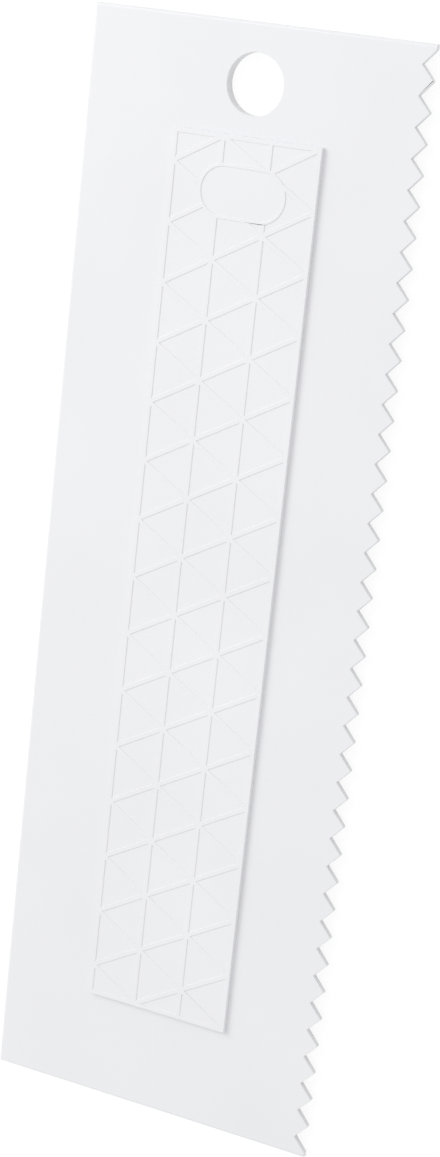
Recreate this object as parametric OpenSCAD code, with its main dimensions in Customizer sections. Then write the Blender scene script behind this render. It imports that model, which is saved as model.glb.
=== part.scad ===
// Icing smoother and comb: a thin moulded blade with a straight smoothing edge on one long side and a row of
// pointed teeth on the other, a round hole to hang it by, and a raised grip panel with a lattice of low ribs.
// The part lies on its back. +Z is the front face, +Y points to the hanging hole and +X to the comb teeth.
// The origin is the middle of the back face.

/* [Blade] */
// Length of the blade, end to end
blade_l = 230; // [215:1:260]
// Width of the blade, from the smoothing edge to the tips of the teeth
blade_w = 75; // [66:1:90]
// Thickness of the blade's core, behind the grip
core_t = 2.4; // [1.8:0.1:3.2]
// Thickness of the blade at its two long edges
edge_t = 1.2; // [0.8:0.1:1.6]
// Radius of the front edge at the two short ends
end_r = 0.6; // [0.3:0.1:0.7]

/* [Comb teeth] */
// Distance from tooth to tooth
tooth_pitch = 6; // [4:0.25:9]
// Angle between the two flanks of a tooth, in degrees
tooth_angle = 94; // [80:1:110]
// Radius of each tooth's tip
tooth_tip_r = 0.3; // [0.1:0.05:0.5]
// Shortest flat stretch between the last tooth and the blade's end
tooth_land = 0.8; // [0.4:0.1:2]

/* [Hanging hole] */
// Diameter of the hole
hole_d = 12.5; // [8:0.5:14]
// Distance from the hole's centre to the blade's end
hole_from_end = 12; // [10:0.5:15]

/* [Grip panel] */
// Side of one triangle of the lattice
cell_side = 12.3; // [9:0.1:16]
// Columns of triangles across the grip
cell_columns = 3; // [2:1:4]
// Height of the panel's floor above the blade
panel_t = 0.7; // [0.4:0.1:1.5]
// Width of a rib
rib_w = 0.9; // [0.6:0.1:1.4]
// Height of a rib above the panel's floor
rib_h = 0.3; // [0.2:0.05:0.6]
// Shortest distance from the hole to the panel
hole_gap = 3.5; // [2:0.5:6]

/* [Plain field] */
// Length of the plain field across the panel
field_l = 19.5; // [12:0.5:24]
// Width of the plain field
field_w = 11; // [8:0.5:14]
// Distance from the field's centre to the panel's upper end
field_from_end = 11.2; // [9:0.1:20]
// Width of the rim round the field
field_rim_w = 0.6; // [0.4:0.1:1]

/* [Hidden] */
$fn = 48;

// Overlap that lets one cutting or joining solid pass through the face of another
through = 1;

// A tooth is a wedge with a round tip. Its sharp apex would lie beyond the tip by apex_gap.
half_angle = tooth_angle / 2;
tip_x = blade_w / 2;
apex_gap = tooth_tip_r / sin(half_angle) - tooth_tip_r;
tooth_depth = tooth_pitch / 2 / tan(half_angle) - apex_gap;
root_x = tip_x - tooth_depth;

// Whole pitches that fit between the two end lands, which share what is left over
tooth_spaces = floor((blade_l - 2 * tooth_land) / tooth_pitch);
land = (blade_l - tooth_spaces * tooth_pitch) / 2;
first_tooth_y = -blade_l / 2 + land;

// The smoothing edge has a full round nose
nose_r = edge_t / 2;

hole_y = blade_l / 2 - hole_from_end;

// Equilateral triangles stand in columns, with one side along Y. The panel holds whole triangles, and the
// border rib adds half its width on every side.
column_w = cell_side * sqrt(3) / 2;
panel_w = cell_columns * column_w + rib_w;
end_margin = hole_from_end + hole_d / 2 + hole_gap;
cell_rows = floor((blade_l - 2 * end_margin - rib_w) / cell_side);
panel_l = cell_rows * cell_side + rib_w;
field_y = panel_l / 2 - field_from_end;

// The blade keeps its full thickness behind the panel and thins from there to both long edges
core_w = panel_w;

// Blade: the section across the blade, flat in front, tapered behind and half round at the smoothing edge
module blade_section() {
    left_x = -blade_w / 2;
    difference() {
        polygon([
            [left_x, core_t],
            [tip_x + through, core_t],
            [tip_x + through, core_t - edge_t],
            [tip_x, core_t - edge_t],
            [core_w / 2, 0],
            [-core_w / 2, 0],
            [left_x + nose_r, core_t - edge_t],
            [left_x, core_t - edge_t]
        ]);
        translate([left_x + nose_r, core_t - nose_r])
            difference() {
                translate([-edge_t, -edge_t])
                    square([edge_t, 2 * edge_t]);
                circle(nose_r);
            }
    }
}

// Blade: one tooth that points to +X, with its tip on the blade's right side
module tooth() {
    centre_x = tip_x - tooth_tip_r;
    flank_x = centre_x + tooth_tip_r * sin(half_angle);
    flank_y = tooth_tip_r * cos(half_angle);
    translate([centre_x, 0])
        circle(tooth_tip_r);
    polygon([
        [root_x - through, -tooth_pitch / 2],
        [root_x, -tooth_pitch / 2],
        [flank_x, -flank_y],
        [flank_x, flank_y],
        [root_x, tooth_pitch / 2],
        [root_x - through, tooth_pitch / 2]
    ]);
}

// Blade: the outline seen from the front, a rectangle with teeth from end to end of its right side
module blade_outline() {
    intersection() {
        translate([-blade_w / 2, -blade_l / 2])
            square([blade_w, blade_l]);
        union() {
            translate([-blade_w / 2, -blade_l / 2])
                square([blade_w - tooth_depth, blade_l]);
            for (i = [0:tooth_spaces])
                translate([0, first_tooth_y + i * tooth_pitch])
                    tooth();
            for (side = [-1, 1])
                translate([root_x - through, side * (blade_l / 2 - land / 2) - land / 2])
                    square([tooth_depth + through, land]);
        }
    }
}

// Blade: the section along the blade, with the front edges of both ends rounded
module end_section() {
    translate([-blade_l / 2, 0])
        square([blade_l, core_t - end_r]);
    translate([-blade_l / 2 + end_r, 0])
        square([blade_l - 2 * end_r, core_t]);
    for (side = [-1, 1])
        translate([side * (blade_l / 2 - end_r), core_t - end_r])
            circle(end_r);
}

module blade() {
    color([0.95, 0.95, 0.96])
        difference() {
            intersection() {
                rotate([90, 0, 0])
                    linear_extrude(blade_l, center = true)
                        blade_section();
                linear_extrude(core_t)
                    blade_outline();
                rotate([90, 0, 90])
                    linear_extrude(blade_w, center = true)
                        end_section();
            }
            translate([0, hole_y, -through])
                cylinder(d = hole_d, h = core_t + 2 * through);
        }
}

// Grip panel: the stadium shape of the plain field, grown or shrunk by an edge width
module field(edge = 0) {
    r = field_w / 2 + edge;
    run = field_l - field_w;
    square([run, 2 * r], center = true);
    for (side = [-1, 1])
        translate([side * run / 2, 0])
            circle(r);
}

// Grip panel: the straight ribs of the lattice. Diagonals climb by half a cell in each column, and they cross
// at the second upright, where a cell starts at the panel's lower end.
module lattice() {
    first_x = -(panel_w - rib_w) / 2;
    cross_x = first_x + column_w;
    low_y = -(panel_l - rib_w) / 2;
    reach = cell_columns * cell_side + through;
    for (c = [0:cell_columns])
        translate([first_x + c * column_w, 0])
            square([rib_w, panel_l], center = true);
    for (k = [-cell_columns:cell_rows + cell_columns])
        for (slope = [-30, 30])
            translate([cross_x, low_y + k * cell_side])
                rotate(slope)
                    square([2 * reach, rib_w], center = true);
    for (side = [-1, 1])
        translate([0, side * (panel_l - rib_w) / 2])
            square([panel_w, rib_w], center = true);
}

// Grip panel: all that stands above the panel's floor, with the field left plain inside its rim
module relief() {
    difference() {
        intersection() {
            lattice();
            square([panel_w, panel_l], center = true);
        }
        translate([0, field_y])
            field();
    }
    translate([0, field_y])
        difference() {
            field();
            field(-field_rim_w);
        }
}

module grip_panel() {
    color([0.96, 0.96, 0.97])
        translate([0, 0, core_t]) {
            translate([-panel_w / 2, -panel_l / 2, 0])
                cube([panel_w, panel_l, panel_t]);
            linear_extrude(panel_t + rib_h)
                relief();
        }
}

blade();
grip_panel();
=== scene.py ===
from math import radians

import bpy
from mathutils import Matrix


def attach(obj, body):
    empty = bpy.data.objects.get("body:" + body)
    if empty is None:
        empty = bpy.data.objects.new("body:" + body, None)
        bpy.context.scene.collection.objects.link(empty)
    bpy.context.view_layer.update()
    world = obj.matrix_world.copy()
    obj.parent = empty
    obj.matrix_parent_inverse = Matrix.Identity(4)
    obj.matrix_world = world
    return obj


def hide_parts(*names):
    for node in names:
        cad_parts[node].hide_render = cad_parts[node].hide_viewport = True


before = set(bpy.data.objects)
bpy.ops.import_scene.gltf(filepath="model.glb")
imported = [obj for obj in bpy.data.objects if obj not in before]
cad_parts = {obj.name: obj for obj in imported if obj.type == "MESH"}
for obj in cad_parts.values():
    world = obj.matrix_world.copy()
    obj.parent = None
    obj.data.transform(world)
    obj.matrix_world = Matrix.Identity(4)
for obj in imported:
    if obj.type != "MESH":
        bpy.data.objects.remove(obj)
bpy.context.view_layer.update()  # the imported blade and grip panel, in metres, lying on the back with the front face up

# Camera: it stands in front of the smoother, to the right of the comb teeth and above the middle, and looks
# down at the front face, a little turned, so that the lower end comes out wider than the upper end.
camera_place = (0.243157, 0.135246, 0.491967)
camera_turn = (-10.59081, 27.33120, 6.69148)
camera_data = bpy.data.cameras.new("camera")
camera_data.sensor_fit = "AUTO"
camera_data.sensor_width = 36
camera_data.lens = 85.4236
camera_data.clip_start = 0.01
camera = bpy.data.objects.new("camera", camera_data)
camera.location = camera_place
camera.rotation_euler = [radians(a) for a in camera_turn]
bpy.context.scene.collection.objects.link(camera)
bpy.context.scene.camera = camera
bpy.context.scene.view_settings.view_transform = "Standard"

# Floor: a plain pale table top that the smoother lies on. What looks at it sees white with a faint shadow,
# and the light that it throws back on the plastic is that of ordinary white paint.
floor_side = 6
floor_gap = 0.0002
floor_glow = 0.88
floor_shade = 0.16
floor_white = 0.8


def seen_and_lit(tree, seen, lit):
    """A mix that shows the shader seen to the camera, gloss and glass, and gives light as the shader lit."""
    rays = tree.nodes.new("ShaderNodeLightPath")
    looked_at = rays.outputs["Is Camera Ray"]
    for kind in ("Is Glossy Ray", "Is Transmission Ray"):
        either_ray = tree.nodes.new("ShaderNodeMath")
        either_ray.operation = "MAXIMUM"
        tree.links.new(looked_at, either_ray.inputs[0])
        tree.links.new(rays.outputs[kind], either_ray.inputs[1])
        looked_at = either_ray.outputs[0]
    mix = tree.nodes.new("ShaderNodeMixShader")
    tree.links.new(looked_at, mix.inputs[0])
    tree.links.new(lit.outputs[0], mix.inputs[1])
    tree.links.new(seen.outputs[0], mix.inputs[2])
    return mix


bpy.ops.object.select_all(action="DESELECT")
bpy.ops.mesh.primitive_plane_add(size=floor_side, location=(0, 0, -floor_gap))
floor = bpy.context.object
floor.name = "floor"
floor_paint = bpy.data.materials.new("floor_paint")
floor_paint.use_nodes = True
tree = floor_paint.node_tree
tree.nodes.clear()
glow = tree.nodes.new("ShaderNodeEmission")
glow.inputs["Color"].default_value = (1, 1, 1, 1)
glow.inputs["Strength"].default_value = floor_glow
shade = tree.nodes.new("ShaderNodeBsdfDiffuse")
shade.inputs["Color"].default_value = (floor_shade, floor_shade, floor_shade, 1)
white = tree.nodes.new("ShaderNodeAddShader")
tree.links.new(glow.outputs[0], white.inputs[0])
tree.links.new(shade.outputs[0], white.inputs[1])
paint = tree.nodes.new("ShaderNodeBsdfDiffuse")
paint.inputs["Color"].default_value = (floor_white, floor_white, floor_white, 1)
surface = tree.nodes.new("ShaderNodeOutputMaterial")
tree.links.new(seen_and_lit(tree, white, paint).outputs[0], surface.inputs["Surface"])
floor.data.materials.append(floor_paint)

# Studio light: a pale room all round and one large soft lamp from the upper left, so that the sides that face
# left are bright and those that face right are dull. The room itself looks plain white.
room_level = 0.77
room_tint = (0.99, 0.99, 1, 1)
lamp_power = 4.9
lamp_size = 0.7
lamp_place = (-0.72, 0.5, 0.76)
room = bpy.data.worlds.new("room")
bpy.context.scene.world = room
room.use_nodes = True
tree = room.node_tree
tree.nodes.clear()
walls = tree.nodes.new("ShaderNodeBackground")
walls.inputs["Color"].default_value = room_tint
walls.inputs["Strength"].default_value = room_level
backdrop = tree.nodes.new("ShaderNodeBackground")
backdrop.inputs["Color"].default_value = (1, 1, 1, 1)
backdrop.inputs["Strength"].default_value = 1
out = tree.nodes.new("ShaderNodeOutputWorld")
tree.links.new(seen_and_lit(tree, backdrop, walls).outputs[0], out.inputs["Surface"])
lamp_data = bpy.data.lights.new("soft_lamp", "AREA")
lamp_data.energy = lamp_power
lamp_data.size = lamp_size
lamp = bpy.data.objects.new("soft_lamp", lamp_data)
lamp.location = lamp_place
lamp.rotation_euler = (-lamp.location).to_track_quat("-Z", "Y").to_euler()
lamp.visible_camera = False
bpy.context.scene.collection.objects.link(lamp)

# Blade: one thin plate of white moulded plastic with the smoothing edge, the comb teeth and the hanging hole.
# It comes out of the mould with all its edges very slightly round, and its skin is satin with a faint flow.
blade_edge_r = 0.1
blade_tone = (0.872, 0.874, 0.892)
blade_roughness = 0.36
blade_grain = 0.25


def moulded(node, name, edge_r, floor_z=0, floor_rise=0):
    """A copy of a CAD node with round edges, worked on in millimetres.

    edge_r is the radius of the edges. Faces at the height floor_z are raised by floor_rise.
    """
    mm_per_metre = 1000
    same_point = 0.001
    same_height = 0.01
    piece = bpy.data.objects.new(name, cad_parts[node].data.copy())
    bpy.context.scene.collection.objects.link(piece)
    piece.data.transform(Matrix.Scale(mm_per_metre, 4))
    piece.data.materials.clear()
    bpy.ops.object.select_all(action="DESELECT")
    piece.select_set(True)
    bpy.context.view_layer.objects.active = piece
    bpy.ops.object.mode_set(mode="EDIT")
    bpy.ops.mesh.select_all(action="SELECT")
    bpy.ops.mesh.remove_doubles(threshold=same_point)
    bpy.ops.mesh.dissolve_limited(angle_limit=radians(0.5))
    bpy.ops.object.mode_set(mode="OBJECT")
    if floor_rise:
        for corner in piece.data.vertices:
            if abs(corner.co.z - floor_z) < same_height:
                corner.co.z += floor_rise
    rounding = piece.modifiers.new("rounding", "BEVEL")
    rounding.width = edge_r
    rounding.segments = 3
    rounding.limit_method = "ANGLE"
    rounding.angle_limit = radians(30)
    rounding.use_clamp_overlap = False
    bpy.ops.object.modifier_apply(modifier=rounding.name)
    piece.data.transform(Matrix.Scale(1 / mm_per_metre, 4))
    bpy.ops.object.shade_smooth_by_angle(angle=radians(35))
    flat_faces = piece.modifiers.new("flat_faces", "WEIGHTED_NORMAL")
    flat_faces.weight = 100
    flat_faces.keep_sharp = True
    bpy.ops.object.modifier_apply(modifier=flat_faces.name)
    return piece


def white_plastic(name, tone, roughness, grain):
    """Satin white plastic: a faint cloudy flow in its colour and gloss, and a fine grain from the mould."""
    flow_scale = 28
    flow_low = 0.3
    flow_high = 0.7
    darkest = 0.985
    lightest = 1.01
    roughness_spread = 0.04
    skin_scale = 2600
    skin_depth = 0.00002
    plastic = bpy.data.materials.new(name)
    plastic.use_nodes = True
    tree = plastic.node_tree
    shader = tree.nodes["Principled BSDF"]
    shader.inputs["IOR"].default_value = 1.46
    place = tree.nodes.new("ShaderNodeTexCoord")
    flow = tree.nodes.new("ShaderNodeTexNoise")
    flow.inputs["Scale"].default_value = flow_scale
    flow.inputs["Detail"].default_value = 3
    tree.links.new(place.outputs["Object"], flow.inputs["Vector"])
    tint = tree.nodes.new("ShaderNodeValToRGB")
    tint.color_ramp.elements[0].position = flow_low
    tint.color_ramp.elements[0].color = [darkest * c for c in tone] + [1]
    tint.color_ramp.elements[1].position = flow_high
    tint.color_ramp.elements[1].color = [lightest * c for c in tone] + [1]
    tree.links.new(flow.outputs["Fac"], tint.inputs["Fac"])
    tree.links.new(tint.outputs["Color"], shader.inputs["Base Color"])
    gloss = tree.nodes.new("ShaderNodeMapRange")
    gloss.inputs["From Min"].default_value = flow_low
    gloss.inputs["From Max"].default_value = flow_high
    gloss.inputs["To Min"].default_value = roughness - roughness_spread
    gloss.inputs["To Max"].default_value = roughness + roughness_spread
    tree.links.new(flow.outputs["Fac"], gloss.inputs["Value"])
    tree.links.new(gloss.outputs["Result"], shader.inputs["Roughness"])
    skin = tree.nodes.new("ShaderNodeTexNoise")
    skin.inputs["Scale"].default_value = skin_scale
    skin.inputs["Detail"].default_value = 2
    tree.links.new(place.outputs["Object"], skin.inputs["Vector"])
    bump = tree.nodes.new("ShaderNodeBump")
    bump.inputs["Strength"].default_value = grain
    bump.inputs["Distance"].default_value = skin_depth
    tree.links.new(skin.outputs["Fac"], bump.inputs["Height"])
    tree.links.new(bump.outputs["Normal"], shader.inputs["Normal"])
    return plastic


blade = moulded("blade", "icing_blade", blade_edge_r)
blade.data.materials.append(white_plastic("blade_plastic", blade_tone, blade_roughness, blade_grain))
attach(blade, "root")
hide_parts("blade")

# Grip panel: the raised rectangle in the middle of the front face, of the same white plastic, with low ribs
# in a lattice of triangles, a rib all round, and a plain stadium-shaped field at its upper end. The ribs look
# lower than they are in the solid, so the floors between them lie a little higher in this copy.
grip_edge_r = 0.07
cell_floor_z = 3.1
cell_floor_rise = 0.14
grip_tone = (0.880, 0.882, 0.900)
grip_roughness = 0.32
grip_grain = 0.18
grip = moulded("grip_panel", "grip_lattice", grip_edge_r, cell_floor_z, cell_floor_rise)
grip.data.materials.append(white_plastic("grip_plastic", grip_tone, grip_roughness, grip_grain))
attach(grip, "root")
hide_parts("grip_panel")
